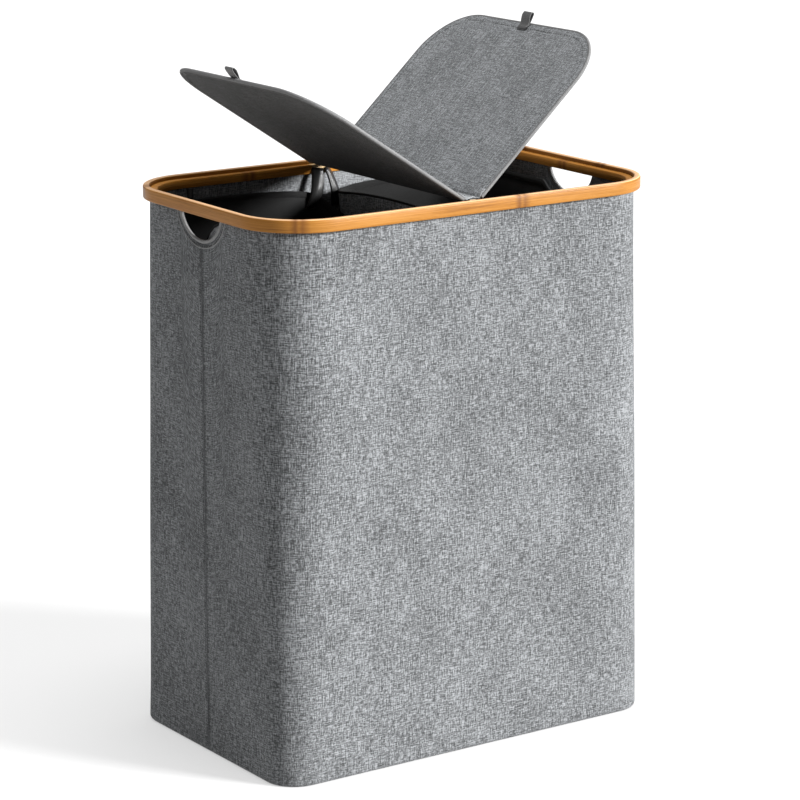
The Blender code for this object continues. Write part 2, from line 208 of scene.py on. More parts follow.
def tube(name, points, radius, material, closed=False):
    """Round piping along points."""
    curve = bpy.data.curves.new(name, "CURVE")
    curve.dimensions = "3D"
    curve.bevel_depth = radius
    curve.bevel_resolution = 3
    curve.use_fill_caps = True
    spline = curve.splines.new("POLY")
    spline.points.add(len(points) - 1)
    for target, point in zip(spline.points, points):
        target.co = (*point, 1.0)
    spline.use_cyclic_u = closed
    return add_object(name, curve, material)


def spaced(points, pitch):
    """Places along a line of points, a pitch apart, with the direction at each."""
    lengths = running_length(points)
    total = lengths[-1]
    count = max(1, int(total / pitch))
    index = 0
    for step in range(count):
        goal = (step + 0.5) * total / count
        while lengths[index + 1] < goal:
            index += 1
        first, second = Vector(points[index]), Vector(points[index + 1])
        share = (goal - lengths[index]) / (lengths[index + 1] - lengths[index])
        yield first.lerp(second, share), (second - first).normalized()


def stitches(name, lines, body, material, pitch=0.0040, length=0.0027, radius=0.00042):
    """Rows of sewn stitches, each a small slim bead lying along its line."""
    shape = bmesh.new()
    for line in lines:
        for place, direction in spaced(line, pitch):
            bead = bmesh.ops.create_icosphere(shape, subdivisions=1, radius=1.0)
            turn = direction.to_track_quat("X", "Z")
            for vert in bead["verts"]:
                size = Vector((vert.co.x * length / 2, vert.co.y * radius, vert.co.z * radius))
                vert.co = place + turn @ size
    mesh = bpy.data.meshes.new(name)
    shape.to_mesh(mesh)
    shape.free()
    mesh.shade_smooth()
    piece = add_object(name, mesh, material)
    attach(piece, body)
    return piece


# Outlines

def arc(centre_x, centre_y, radius, start, steps=16):
    """A quarter circle that starts at an angle and turns anticlockwise."""
    points = []
    for step in range(steps + 1):
        angle = start + math.pi / 2 * step / steps
        points.append((centre_x + radius * math.cos(angle), centre_y + radius * math.sin(angle)))
    return points


def turned(points):
    """The same points turned half way round the hamper's middle."""
    return [(-x, -y) for x, y in points]


def between(first, second, steps):
    """Points part of the way from first to second, without either end."""
    return [
        (first[0] + (second[0] - first[0]) * k / steps, first[1] + (second[1] - first[1]) * k / steps)
        for k in range(1, steps)
    ]


def notch_stations(steps=12):
    """Places from a handle hole's middle to its end, closer together near the end."""
    return [NOTCH_HALF_WIDTH * math.sin(math.pi / 2 * k / steps) for k in range(steps + 1)]


def back_outline(inset, radius):
    """The back half, from the right side seam round to the left one."""
    half_x, half_y = RIM_X - inset, RIM_Y - inset
    side = [(half_x, y) for y in notch_stations()]
    right = arc(half_x - radius, half_y - radius, radius, 0.0)
    left = arc(radius - half_x, half_y - radius, radius, math.pi / 2)
    points = side + between(side[-1], right[0], 4) + right
    points += between(right[-1], left[0], 36) + left
    mirrored = [(-x, y) for x, y in reversed(side)]
    return points + between(left[-1], mirrored[0], 4) + mirrored


def ring_outline(inset, radius):
    """The whole way round, from the right side seam."""
    back = back_outline(inset, radius)[:-1]
    return back + turned(back)


def notch_height(y, wider=0.0, deeper=0.0):
    """Height of a handle hole's edge at y, or None outside the hole."""
    share = y / (NOTCH_HALF_WIDTH + wider)
    if abs(share) >= 1.0:
        return None
    return WALL_TOP - (NOTCH_DEPTH + deeper) * math.sqrt(1.0 - share * share)


def ripple(x, y, z, size):
    """A slow, smooth unevenness, the same every run."""
    waves = math.sin(11.0 * x + 4.0 * z + 1.3) * math.cos(9.0 * z - 6.0 * y)
    waves += 0.6 * math.sin(23.0 * x - 17.0 * y + 7.0 * z) * math.sin(13.0 * z + 0.7)
    return size * waves / 1.6


# Materials

class Nodes:
    """Short calls for building a material's node tree."""

    def __init__(self, name):
        self.material = bpy.data.materials.new(name)
        self.material.use_nodes = True
        self.tree = self.material.node_tree
        self.shader = self.tree.nodes["Principled BSDF"]

    def node(self, kind, **settings):
        made = self.tree.nodes.new(kind)
        for key, value in settings.items():
            setattr(made, key, value)
        return made

    def link(self, source, target):
        self.tree.links.new(source, target)

    def coordinates(self, kind, scale, turn=0.0):
        """Texture coordinates of a kind, UV or Object, stretched by scale."""
        source = self.node("ShaderNodeTexCoord")
        mapping = self.node("ShaderNodeMapping")
        mapping.inputs["Scale"].default_value = scale
        mapping.inputs["Rotation"].default_value = (0.0, 0.0, turn)
        self.link(source.outputs[kind], mapping.inputs["Vector"])
        return mapping.outputs["Vector"]

    def noise(self, vector, scale=1.0, detail=2.0, roughness=0.5):
        made = self.node("ShaderNodeTexNoise")
        made.inputs["Scale"].default_value = scale
        made.inputs["Detail"].default_value = detail
        made.inputs["Roughness"].default_value = roughness
        self.link(vector, made.inputs["Vector"])
        return made.outputs["Fac"]

    def maths(self, operation, first, second=None):
        made = self.node("ShaderNodeMath", operation=operation)
        for socket, value in zip(made.inputs, (first, second)):
            if isinstance(value, (int, float)):
                socket.default_value = value
            elif value is not None:
                self.link(value, socket)
        return made.outputs[0]

    def ramp(self, value, stops):
        """A colour ramp: stops are (position, colour)."""
        made = self.node("ShaderNodeValToRGB")
        elements = made.color_ramp.elements
        while len(elements) < len(stops):
            elements.new(0.5)
        for element, (position, colour) in zip(elements, stops):
            element.position = position
            element.color = (*colour, 1.0)
        self.link(value, made.inputs["Fac"])
        return made.outputs["Color"]

    def mix(self, share, first, second, blend="MIX"):
        made = self.node("ShaderNodeMix", data_type="RGBA", blend_type=blend)
        for socket, value in ((made.inputs[0], share), (made.inputs[6], first), (made.inputs[7], second)):
            if isinstance(value, (int, float)):
                socket.default_value = value
            elif isinstance(value, tuple):
                socket.default_value = (*value, 1.0)
            else:
                self.link(value, socket)
        return made.outputs[2]

    def bump(self, height, distance, strength=1.0):
        made = self.node("ShaderNodeBump")
        made.inputs["Distance"].default_value = distance
        made.inputs["Strength"].default_value = strength
        self.link(height, made.inputs["Height"])
        self.link(made.outputs["Normal"], self.shader.inputs["Normal"])

    def weave(self, kind, pitch):
        """Height of a plain weave: threads that pass over and under at a pitch in metres."""
        turns = 2 * math.pi / pitch
        axes = self.node("ShaderNodeSeparateXYZ")
        self.link(self.coordinates(kind, (turns, turns, turns)), axes.inputs[0])
        warp = self.maths("SINE", axes.outputs[0])
        weft = self.maths("SINE", axes.outputs[1])
        return self.maths("MULTIPLY", warp, weft)

    def finish(self, colour, roughness, **values):
        if isinstance(colour, tuple):
            self.shader.inputs["Base Color"].default_value = (*colour, 1.0)
        else:
            self.link(colour, self.shader.inputs["Base Color"])
        if isinstance(roughness, float):
            self.shader.inputs["Roughness"].default_value = roughness
        else:
            self.link(roughness, self.shader.inputs["Roughness"])
        for key, value in values.items():
            self.shader.inputs[key.replace("_", " ")].default_value = value
        return self.material


def grey(level, warmth=0.0):
    """A grey; warmth above 0 leans to red and below 0 to blue."""
    return (level * (1.0 + warmth), level, level * (1.0 - warmth))


def greys(*levels, warmth=0.0):
    return [grey(level, warmth) for level in levels]


def linen(name, dark, middle, light, kind="UV", pitch=0.0009, streak=1.0):
    """Melange linen-look cloth: pale and dark yarns crossing, with slubs."""
    made = Nodes(name)
    fine, coarse = 850.0 * streak, 190.0 * streak
    warp = made.noise(made.coordinates(kind, (fine, coarse, fine)), detail=1.5)
    weft = made.noise(made.coordinates(kind, (coarse, fine, coarse)), detail=1.5)
    fleck = made.noise(made.coordinates(kind, (620.0, 520.0, 620.0)), detail=3.0, roughness=0.7)
    slub_x = made.noise(made.coordinates(kind, (55.0, 900.0, 55.0)), detail=1.0)
    slub_y = made.noise(made.coordinates(kind, (900.0, 45.0, 900.0)), detail=1.0)
    patch = made.noise(made.coordinates(kind, (14.0, 9.0, 14.0)), detail=2.0)
    yarns = made.maths("ADD", made.maths("MULTIPLY", warp, 0.36), made.maths("MULTIPLY", weft, 0.36))
    yarns = made.maths("ADD", yarns, made.maths("MULTIPLY", fleck, 0.28))
    slubs = made.maths("ADD", made.maths("MULTIPLY", slub_x, 0.5), made.maths("MULTIPLY", slub_y, 0.5))
    tone = made.maths("ADD", yarns, made.maths("MULTIPLY", made.maths("SUBTRACT", slubs, 0.5), 0.55))
    tone = made.maths("ADD", tone, made.maths("MULTIPLY", made.maths("SUBTRACT", patch, 0.5), 0.10))
    colour = made.ramp(tone, [(0.40, dark), (0.50, middle), (0.61, light)])
    height = made.maths("ADD", made.maths("MULTIPLY", made.weave(kind, pitch), 0.35), yarns)
    made.bump(height, 0.0005, 0.7)
    return made.finish(colour, 0.92, Sheen_Weight=0.04, Sheen_Roughness=0.5, Specular_IOR_Level=0.2)


def plain_cloth(name, dark, light, kind="UV", pitch=0.0010, roughness=0.88, sheen=0.04):
    """A fine, even cloth in one colour, with slow changes of tone and a little fuzz."""
    made = Nodes(name)
    fine = made.noise(made.coordinates(kind, (900.0, 900.0, 900.0)), detail=2.0)
    slow = made.noise(made.coordinates(kind, (18.0, 18.0, 18.0)), detail=3.0)
    tone = made.maths("ADD", made.maths("MULTIPLY", fine, 0.6), made.maths("MULTIPLY", slow, 0.4))
    colour = made.ramp(tone, [(0.36, dark), (0.66, light)])
    height = made.maths("ADD", made.weave(kind, pitch), fine)
    made.bump(height, 0.0003, 0.6)
    return made.finish(colour, roughness, Sheen_Weight=sheen, Sheen_Roughness=0.4, Specular_IOR_Level=0.2)


def webbing(name, dark, light, roughness=0.55):
    """Ribbed narrow-woven tape."""
    made = Nodes(name)
    axes = made.node("ShaderNodeSeparateXYZ")
    made.link(made.coordinates("UV", (5200.0, 7000.0, 1.0)), axes.inputs[0])
    ribs = made.maths("SINE", axes.outputs[0])
    cross = made.maths("SINE", axes.outputs[1])
    fuzz = made.noise(made.coordinates("UV", (1100.0, 1100.0, 1.0)), detail=2.0)
    height = made.maths("ADD", ribs, made.maths("MULTIPLY", cross, 0.4))
    colour = made.ramp(fuzz, [(0.3, dark), (0.7, light)])
    made.bump(height, 0.0002, 0.4)
    return made.finish(colour, roughness, Sheen_Weight=0.05)


BAMBOO_TONES = (
    (0.36, (0.125, 0.044, 0.006)),
    (0.50, (0.235, 0.098, 0.016)),
    (0.62, (0.285, 0.132, 0.031)),
)
# A cream tint mixed in to paint a highlight on the hoop's top faces.
BAMBOO_HIGHLIGHT_TINT = (1.0, 0.9, 0.72)
BAMBOO_NODE = (0.10, 0.036, 0.009)
# How strong the node's colour is along a strip, from one node band to the next.
BAMBOO_NODE_BAND = ((0.0, 0.0), (0.470, 0.0), (0.494, 0.9), (0.506, 0.25), (0.520, 0.75), (0.55, 0.0))


def bamboo(name, period=0.285, phase=0.0, painted_light=1.0, pale=0.0):
    """Lacquered bamboo strip: long grain, fibre flecks and a node band every period."""
    # painted_light brightens every colour and pale mixes in a cream tint: both stand in for light falling
    # on the strip, not for its own colour.
    def tint(colour):
        return tuple(part * painted_light + share * pale for part, share in zip(colour, BAMBOO_HIGHLIGHT_TINT))

    made = Nodes(name)
    grain = made.noise(made.coordinates("UV", (9.0, 900.0, 1.0)), detail=4.0, roughness=0.6)
    fibres = made.noise(made.coordinates("UV", (60.0, 2600.0, 1.0)), detail=2.0)
    slow = made.noise(made.coordinates("UV", (5.0, 40.0, 1.0)), detail=2.0)
    tone = made.maths("ADD", made.maths("MULTIPLY", grain, 0.5), made.maths("MULTIPLY", fibres, 0.25))
    tone = made.maths("ADD", tone, made.maths("MULTIPLY", slow, 0.25))
    stops = [(stop, tint(tone_colour)) for stop, tone_colour in BAMBOO_TONES]
    colour = made.ramp(tone, stops)
    axes = made.node("ShaderNodeSeparateXYZ")
    wobble = made.noise(made.coordinates("UV", (30.0, 500.0, 1.0)), detail=2.0)
    made.link(made.coordinates("UV", (1.0 / period, 1.0, 1.0)), axes.inputs[0])
    place = made.maths("ADD", axes.outputs[0], phase)
    place = made.maths("ADD", place, made.maths("MULTIPLY", wobble, 0.012))
    place = made.maths("FRACT", place)
    band = made.ramp(place, [(stop, grey(level)) for stop, level in BAMBOO_NODE_BAND])
    colour = made.mix(band, colour, tuple(part * painted_light for part in BAMBOO_NODE))
    made.bump(made.maths("ADD", grain, fibres), 0.0003, 0.35)
    roughness = made.maths("ADD", made.maths("MULTIPLY", grain, 0.2), 0.28)
    return made.finish(colour, roughness, Coat_Weight=0.02, Coat_Roughness=0.25, Specular_IOR_Level=0.12)


def saddle_highlight_bamboo(name):
    """Bamboo for the short saddles, paler than the hoop all over: a painted highlight standing in for their
    lit cut ends.
    """
    made = Nodes(name)
    grain = made.noise(made.coordinates("Object", (60.0, 900.0, 900.0)), detail=3.0)
    made.bump(grain, 0.0002, 0.4)
    colour = made.ramp(grain, [(0.3, (0.36, 0.23, 0.10)), (0.7, (0.52, 0.37, 0.19))])
    return made.finish(colour, 0.4)


def board(name, dark, light):
    """Pressed fibreboard, seen only on cut edges and inside."""
    made = Nodes(name)
    fibre = made.noise(made.coordinates("Object", (300.0, 300.0, 300.0)), detail=4.0)
    made.bump(fibre, 0.0003, 0.5)
    return made.finish(made.ramp(fibre, [(0.3, dark), (0.7, light)]), 0.85)


def metal(name):
    """Drawn steel with fine lines along the rod."""
    made = Nodes(name)
    lines = made.noise(made.coordinates("Object", (2500.0, 2500.0, 30.0)), detail=2.0)
    made.bump(lines, 0.00005, 0.5)
    return made.finish(made.ramp(lines, [(0.3, grey(0.45)), (0.7, grey(0.62))]), 0.32, Metallic=1.0)


def plastic(name):
    """Moulded plastic with a fine matt grain."""
    made = Nodes(name)
    pits = made.noise(made.coordinates("Object", (1500.0, 1500.0, 1500.0)), detail=2.0)
    made.bump(pits, 0.0001, 0.4)
    return made.finish(made.ramp(pits, [(0.3, grey(0.012)), (0.7, grey(0.03))]), 0.5)


COOL = -0.035
FINE = {"pitch": 0.0007, "streak": 1.5}

OUTER = linen("outer_linen", *greys(0.034, 0.096, 0.215, warmth=COOL))
LID_TOP = linen("lid_linen", *greys(0.095, 0.195, 0.39, warmth=COOL), **FINE)
INNER = linen("inner_linen", *greys(0.07, 0.14, 0.25, warmth=COOL))
BAG_SKIN = linen("bag_linen", *greys(0.06, 0.14, 0.29, warmth=COOL))
CHARCOAL = linen("charcoal_cloth", *greys(0.024, 0.046, 0.088), **FINE)
WRAP = linen("wrapped_linen", *greys(0.035, 0.065, 0.12), **FINE)
BINDING = plain_cloth("flap_binding", *greys(0.11, 0.20))
BLACK = plain_cloth("black_lining", *greys(0.005, 0.010), sheen=0.02)
EDGE = plain_cloth("edge_binding", *greys(0.15, 0.27))
THREAD = plain_cloth("thread_dark", *greys(0.03, 0.06))
STRAP = webbing("black_ribbon", *greys(0.003, 0.010), roughness=0.32)
TAB = webbing("tab_ribbon", *greys(0.045, 0.11))
BAMBOO = bamboo("bamboo_hoop", phase=0.16)
# The hoop's top faces, brighter and paler: a painted highlight along its top edge.
BAMBOO_TOP_HIGHLIGHT = bamboo("bamboo_top_painted_highlight", phase=0.16, painted_light=1.4, pale=0.20)
# The ledges, 1.6 times brighter than the hoop: painted light on their shaded faces inside the rim.
BAMBOO_LEDGE_LIT = bamboo("bamboo_ledge", phase=0.2, painted_light=1.6)

# For the CAD solids, which have no UVs
BLACK_SOLID = plain_cloth("black_cloth_plain", *greys(0.006, 0.012), kind="Object")
CHARCOAL_SOLID = plain_cloth("charcoal_cloth_plain", *greys(0.03, 0.06), kind="Object")
# The saddles' pale bamboo is a painted highlight for their lit cut ends.
BAMBOO_SADDLE_HIGHLIT = saddle_highlight_bamboo("bamboo_saddle_painted_highlight")
FIBREBOARD = board("fibreboard", (0.20, 0.15, 0.10), (0.42, 0.33, 0.22))
STEEL = metal("rod_steel")
PLASTIC = plastic("socket_plastic")


# Rim

def rounded_profile(inset_low, inset_high, low, high, radius, steps=4):
    """A rectangle with round corners, as (inset, height) points."""
    corners = (
        (inset_high - radius, high - radius, 0.0),
        (inset_low + radius, high - radius, math.pi / 2),
        (inset_low + radius, low + radius, math.pi),
        (inset_high - radius, low + radius, math.pi * 3 / 2),
    )
    points = []
    for centre_x, centre_y, start in corners:
        points += arc(centre_x, centre_y, radius, start, steps)
    return points


def ledge_profile():
    """An L with eased edges: a flange over the walls and a web inside them."""
    easing = LEDGE_EASING
    top, bottom = LEDGE_TOP, HOOP_BOTTOM
    web = LEDGE_INSET - LEDGE_THICKNESS
    under = top - LEDGE_THICKNESS
    return [
        (LEDGE_INSET, bottom + easing),
        (LEDGE_INSET - easing, bottom),
        (web + easing, bottom),
        (web, bottom + easing),
        (web, under),
        (WALL_INSET + easing, under),
        (WALL_INSET, under + easing),
        (WALL_INSET, top - easing),
        (WALL_INSET + easing, top),
        (LEDGE_INSET - easing, top),
        (LEDGE_INSET, top - easing),
    ]


def right_outline(inset, start_x):
    """The right end, from start_x on the front side round to start_x on the back."""
    half_x, half_y = RIM_X - inset, RIM_Y - inset
    radius = RIM_RADIUS - inset
    front = arc(half_x - radius, radius - half_y, radius, -math.pi / 2, 24)
    back = arc(half_x - radius, half_y - radius, radius, 0.0, 24)
    start, end = (start_x, -half_y), (start_x, half_y)
    points = [start] + between(start, front[0], 12) + front
    return points + between(front[-1], back[0], 12) + back + between(back[-1], end, 12) + [end]


def sweep(name, profile, outline_at, closed, material):
    """Carries a closed profile of (inset, height) points round an outline."""
    stations = [outline_at(point[0]) for point in profile]
    rows = []
    for index in range(len(stations[0])):
        rows.append([(*line[index], point[1]) for line, point in zip(stations, profile)])
    if closed:
        rows.append(rows[0])
    mesh = grid_mesh(name, rows, closed=True, cap=not closed)
    for corner in mesh.uv_layers[0].data:
        corner.uv = (corner.uv[1], corner.uv[0])
    shape = bmesh.new()
    shape.from_mesh(mesh)
    if closed:
        bmesh.ops.remove_doubles(shape, verts=shape.verts, dist=0.000001)
    bmesh.ops.recalc_face_normals(shape, faces=shape.faces)
    shape.to_mesh(mesh)
    shape.free()
    mesh.set_sharp_from_angle(angle=math.radians(50.0))
    return add_object(name, mesh, material)


def make_rim():
    """The hoop, with its top edge made paler and brighter as a painted highlight, and the two ledges that
    the lid lies on.
    """
    profile = rounded_profile(0.0, HOOP_THICKNESS, HOOP_BOTTOM, TOP, HOOP_EASING)
    hoop = sweep(
        "bamboo_hoop", profile, lambda inset: ring_outline(inset, RIM_RADIUS - inset),
        True, BAMBOO,
    )
    hoop.data.materials.append(BAMBOO_TOP_HIGHLIGHT)
    # Faces that look up take the brighter, paler bamboo: a painted highlight along the hoop's top edge.
    for face in hoop.data.polygons:
        if face.normal.z > 0.7:
            face.material_index = 1
    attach(hoop, "root")
    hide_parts("rim_hoop")
    right = sweep(
        "bamboo_ledge_right", ledge_profile(), lambda inset: right_outline(inset, LEDGE_END),
        False, BAMBOO_LEDGE_LIT,
    )
    left = sweep(
        "bamboo_ledge_left", ledge_profile(), lambda inset: turned(right_outline(inset, LEDGE_END)),
        False, BAMBOO_LEDGE_LIT,
    )
    for ledge, node in ((right, "rim_ledge_right"), (left, "rim_ledge_left")):
        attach(ledge, "root")
        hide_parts(node)


# Walls

def wall_rows(low, high, side_x, turn_under, wave):
    """Rows of a wall, floor to rim, with the handle holes cut from the top edge.

    A wall that turns under starts with a rounded fold, tucked in at the floor.
    """
    fold = WALL_FOLD if turn_under else 0.0
    steps = 5 if turn_under else 1
    rows = []
    for k in range(steps):
        angle = math.pi / 2 * k / steps
        up = fold * (1 - math.cos(angle))
        tuck = fold * (1 - math.sin(angle))
        rows.append(wall_row(low, high, side_x, up, tuck, None, wave))
    for k in range(45):
        rows.append(wall_row(low, high, side_x, WALL_FOLD, 0.0, k / 44, wave))
    return rows


def wall_row(low, high, side_x, height, tuck, share, wave):
    """Points at one height, or at a share of the way from there to the top edge.

    low and high are the outlines at the floor and the rim, and wave is the size of
    the cloth's unevenness, which fades out at both ends.
    """
    points = []
    for (x0, y0), (x1, y1) in zip(low, high):
        top = WALL_TOP
        if side_x - abs(x1) < 0.00001:
            top = notch_height(y1) or WALL_TOP
        z = height if share is None else height + (top - height) * share
        part = z / WALL_TOP
        x = x0 + (x1 - x0) * part
        y = y0 + (y1 - y0) * part
        out = Vector((x / RIM_X, y / RIM_Y))
        square = Vector((out.x ** 5, out.y ** 5)).normalized()
        fade = min(1.0, z / 0.04) * min(1.0, (WALL_TOP - z) / 0.05)
        push = ripple(x, y, z, wave) * fade - tuck
        points.append((x + square.x * push, y + square.y * push, z))
    return points


def make_walls():
    """The front and back halves of the outer cloth, and the inner cloth all round."""
    radius = RIM_RADIUS - WALL_INSET
    low = back_outline(WALL_INSET, radius - BASE_RADIUS_LOSS)
    high = back_outline(WALL_INSET, radius)
    side_x = RIM_X - WALL_INSET
    for name, first, second in (("back", low, high), ("front", turned(low), turned(high))):
        rows = wall_rows(first, second, side_x, True, WALL_WAVE)
        mesh = grid_mesh("wall_cloth_" + name, rows)
        cloth = add_object("wall_cloth_" + name, mesh, OUTER)
        thicken(cloth, WALL_CLOTH)
        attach(cloth, "root")
        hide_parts("wall_fabric_" + name)
    radius = RIM_RADIUS - LINING_INSET
    low = ring_outline(LINING_INSET, radius - BASE_RADIUS_LOSS)
    high = ring_outline(LINING_INSET, radius)
    rows = wall_rows(low, high, RIM_X - LINING_INSET, False, 0.0)
    mesh = grid_mesh("wall_inner_cloth", rows, closed=True)
    lining = thicken(add_object("wall_inner_cloth", mesh, INNER), LINING_CLOTH)
    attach(lining, "root")
    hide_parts("wall_lining")


def make_base():
    """The flat cloth under the base, in rings from its edge to its middle."""
    edge = ring_outline(BASE_INSET, RIM_RADIUS - BASE_RADIUS_LOSS - BASE_INSET)
    rows = []
    for share in (1.0, 0.96, 0.8, 0.6, 0.4, 0.2, 0.02):
        rows.append([(x * share, y * share, 0.0) for x, y in edge])
    mesh = grid_mesh("base_cloth", rows, closed=True)
    fill_hole(mesh, Vector((0.0, 0.0, 0.0)), facing_out=False)
    cloth = thicken(add_object("base_cloth", mesh, OUTER), BASE_CLOTH, 1.0)
    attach(cloth, "root")
    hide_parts("base_fabric")


def hole_line(side, offset, x, low=-90.0, high=90.0, steps=40):
    """A line round a handle hole, at an offset outside its edge."""
    points = []
    for step in range(steps + 1):
        angle = math.radians(low + (high - low) * step / steps)
        y = (NOTCH_HALF_WIDTH + offset) * math.sin(angle)
        z = WALL_TOP - (NOTCH_DEPTH + offset) * math.cos(angle)
        if z < HOOP_BOTTOM + 0.002:
            points.append((side * x, y, z))
    return points


def upright(x, y, high, steps):
    """A straight line up a side seam, from just above the floor to high."""
    return [(x, y, SEAM_LOW + (high - SEAM_LOW) * k / steps) for k in range(steps + 1)]


def make_handles():
    """Piped edge, hem ridge and stitching of the handle holes, and the side seams."""
    outer_x = RIM_X - WALL_INSET
    stitch_x = outer_x + 0.0002
    lines = []
    seams = []
    for side, name in SIDE_NAMES.items():
        edge = hole_line(side, -0.0006, outer_x - 0.0006, -89, 89)
        piping = tube("handle_piping_" + name + "_cloth", edge, PIPING_RADIUS, EDGE)
        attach(piping, "root")
        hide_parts("handle_piping_" + name)
        hem_line = hole_line(side, HOLE_HEM_OFFSET, outer_x - 0.0002)
        hem = tube("handle_hem_" + name, hem_line, 0.0008, EDGE)
        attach(hem, "root")
        lines.append(hole_line(side, HOLE_STITCH_OFFSET, stitch_x))
        for y in (-SEAM_HALF_GAP, SEAM_HALF_GAP):
            seams.append(upright(side * stitch_x, y, notch_height(y) - 0.0075, 60))
        fold = upright(side * (outer_x + 0.0001), 0.0, notch_height(0.0) - 0.003, 40)
        ridge = tube("side_seam_" + name, fold, 0.0006, OUTER)
        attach(ridge, "root")
    stitches("handle_stitches", lines, "root", THREAD, radius=0.0004)
    stitches("side_seam_stitches", seams, "root", THREAD, radius=0.0003)


# Liner bags

def bag_outline(inner_radius, steps=14):
    """The right bag's outline, anticlockwise from the middle of its outer wall."""
    half_x, half_y = RIM_X - BAG_INSET, RIM_Y - BAG_INSET
    inner_x = BAG_LOW.x
    outer = BAG_OUTER_RADIUS
    stations = notch_stations(8)
    side = [(half_x, y) for y in stations]
    corner_a = arc(half_x - outer, half_y - outer, outer, 0.0, steps)
    corner_b = arc(inner_x + inner_radius, half_y - inner_radius, inner_radius, math.pi / 2, steps)
    corner_c = arc(inner_x + inner_radius, inner_radius - half_y, inner_radius, math.pi, steps)
    corner_d = arc(half_x - outer, outer - half_y, outer, math.pi * 3 / 2, steps)
    far = [(half_x, -y) for y in reversed(stations[1:])]
    points = side + between(side[-1], corner_a[0], 3) + corner_a
    points += between(corner_a[-1], corner_b[0], 16) + corner_b
    points += between(corner_b[-1], corner_c[0], 20) + corner_c
    points += between(corner_c[-1], corner_d[0], 16) + corner_d
    return points + between(corner_d[-1], far[0], 3) + far


def bag_edge_height(side, x, y, outer_x):
    """Height of a bag's top edge.

    The edge falls towards the divider and rises between there and the outer wall. Along
    the divider the left bag sags and the right one stands up. Next to its handle hole the
    left bag dips and bulges, and the right one follows the hole.
    """
    from_divider = abs(x) - BAG_LOW.x
    inward = 1.0 - from_divider / (outer_x - BAG_LOW.x)
    across = y / (RIM_Y - BAG_INSET)
    top = BAG_HIGH.z - 0.012 - 0.008 * inward ** 1.5
    top += 0.008 * max(0.0, math.sin(math.pi * min(1.0, inward))) ** 0.8
    divider = max(0.0, 1.0 - from_divider / 0.03)
    top -= BAG_DIVIDER_SAG[side] * divider * (1.0 - across ** 2) ** 0.8
    top -= 0.003 * math.sin(math.pi * min(1.0, inward * 1.2)) * abs(across) ** 4
    if outer_x - abs(x) < 0.00001:
        if side < 0:
            away = min(1.0, max(0.0, (abs(y - 0.032) - 0.014) / 0.026))
            top -= 0.022 * (1.0 - away * away * (3 - 2 * away))
            top += 0.011 * math.exp(-(((y + 0.030) / 0.020) ** 2))
        else:
            top = min(top, notch_height(y, 0.002, 0.004) or top)
    return top


def bag_point(side, x, y, z, share):
    """Pulls a bag's wall in by a soft ripple that fades out at its top and floor."""
    fade = math.sin(math.pi * min(1.0, max(0.0, share))) ** 0.5
    depth = 0.0022 + ripple(x * 1.7 + side, y * 1.9, z * 1.3, 0.0022)
    pull = -2.0 * depth * fade
    centre_x = side * (BAG_LOW.x + (RIM_X - BAG_INSET)) / 2
    away = Vector(((x - centre_x) / 0.12, y / 0.147))
    away = Vector((away.x ** 5, away.y ** 5)).normalized()
    return (x + away.x * pull, y + away.y * pull, z)


def bag_rows(side, outline, inset):
    """Rows of a bag, from the middle of its floor to its top edge."""
    shell = moved(outline, -inset)
    outer_x = max(abs(x) for x, y in outline)
    floor = BAG_LOW.z + inset
    middle = side * BAG_MIDDLE
    rows = []
    for share in (0.03, 0.3, 0.6, 0.9):
        rows.append([(middle + (x - middle) * share, y * share, floor) for x, y in shell])
    steps = 30
    for k in range(steps + 1):
        share = k / steps
        row = []
        for (x, y), (edge_x, edge_y) in zip(shell, outline):
            top = bag_edge_height(side, edge_x, edge_y, outer_x) - inset
            z = floor + (top - floor) * share
            low = max(0.0, 1.0 - (z - floor) / BAG_ROUNDING)
            tuck = 1.0 - 0.05 * low ** 2
            row.append(bag_point(side, middle + (x - middle) * tuck, y * tuck, z, share))
        rows.append(row)
    return rows


def bag_mesh(name, side, outline, inset):
    """A bag's cloth as one surface with a closed floor, its faces turned outwards."""
    mesh = grid_mesh(name, bag_rows(side, outline, inset), closed=True)
    fill_hole(mesh, Vector((side * BAG_MIDDLE, 0.0, BAG_LOW.z)), facing_out=True)
    return mesh


def hem_rows(side, outline):
    """Rows of the tape folded over a bag's top edge: a drop below it, and how far out."""
    outer_x = max(abs(x) for x, y in outline)
    floor = BAG_LOW.z
    rows = []
    for drop, out in ((0.006, -0.0018), (0.0, -0.0018), (-0.0006, -0.0008), (0.0, 0.0004), (0.002, 0.0004)):
        row = []
        for (x, y), (x_out, y_out) in zip(outline, moved(outline, out)):
            edge = bag_edge_height(side, x, y, outer_x)
            z = edge - drop
            px, py, pz = bag_point(side, x, y, z, (z - floor) / max(0.01, edge - floor))
            row.append((px + x_out - x, py + y_out - y, pz))
        rows.append(row)
    return rows


def make_bag(side):
    """A bag's grey skin, black lining and hem."""
    name = SIDE_NAMES[side]
    outline = bag_outline(BAG_INNER_RADIUS[side])
    outline = outline if side > 0 else turned(outline)
    outer = bag_mesh("bag_" + name, side, outline, 0.0)
    skin = thicken(add_object("bag_" + name, outer, BAG_SKIN), BAG_CLOTH)
    inner = bag_mesh("bag_lining_" + name, side, outline, BAG_LINING_INSET)
    lining = thicken(add_object("bag_lining_" + name, inner, BLACK), BAG_CLOTH)
    hem_mesh = grid_mesh("bag_hem_tape_" + name, hem_rows(side, outline), closed=True)
    hem = thicken(add_object("bag_hem_tape_" + name, hem_mesh, BLACK), HEM_CLOTH, 0.0)
    for piece in (skin, lining, hem):
        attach(piece, "root")
    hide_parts("liner_bag_" + name)
    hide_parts("bag_hem_" + name)


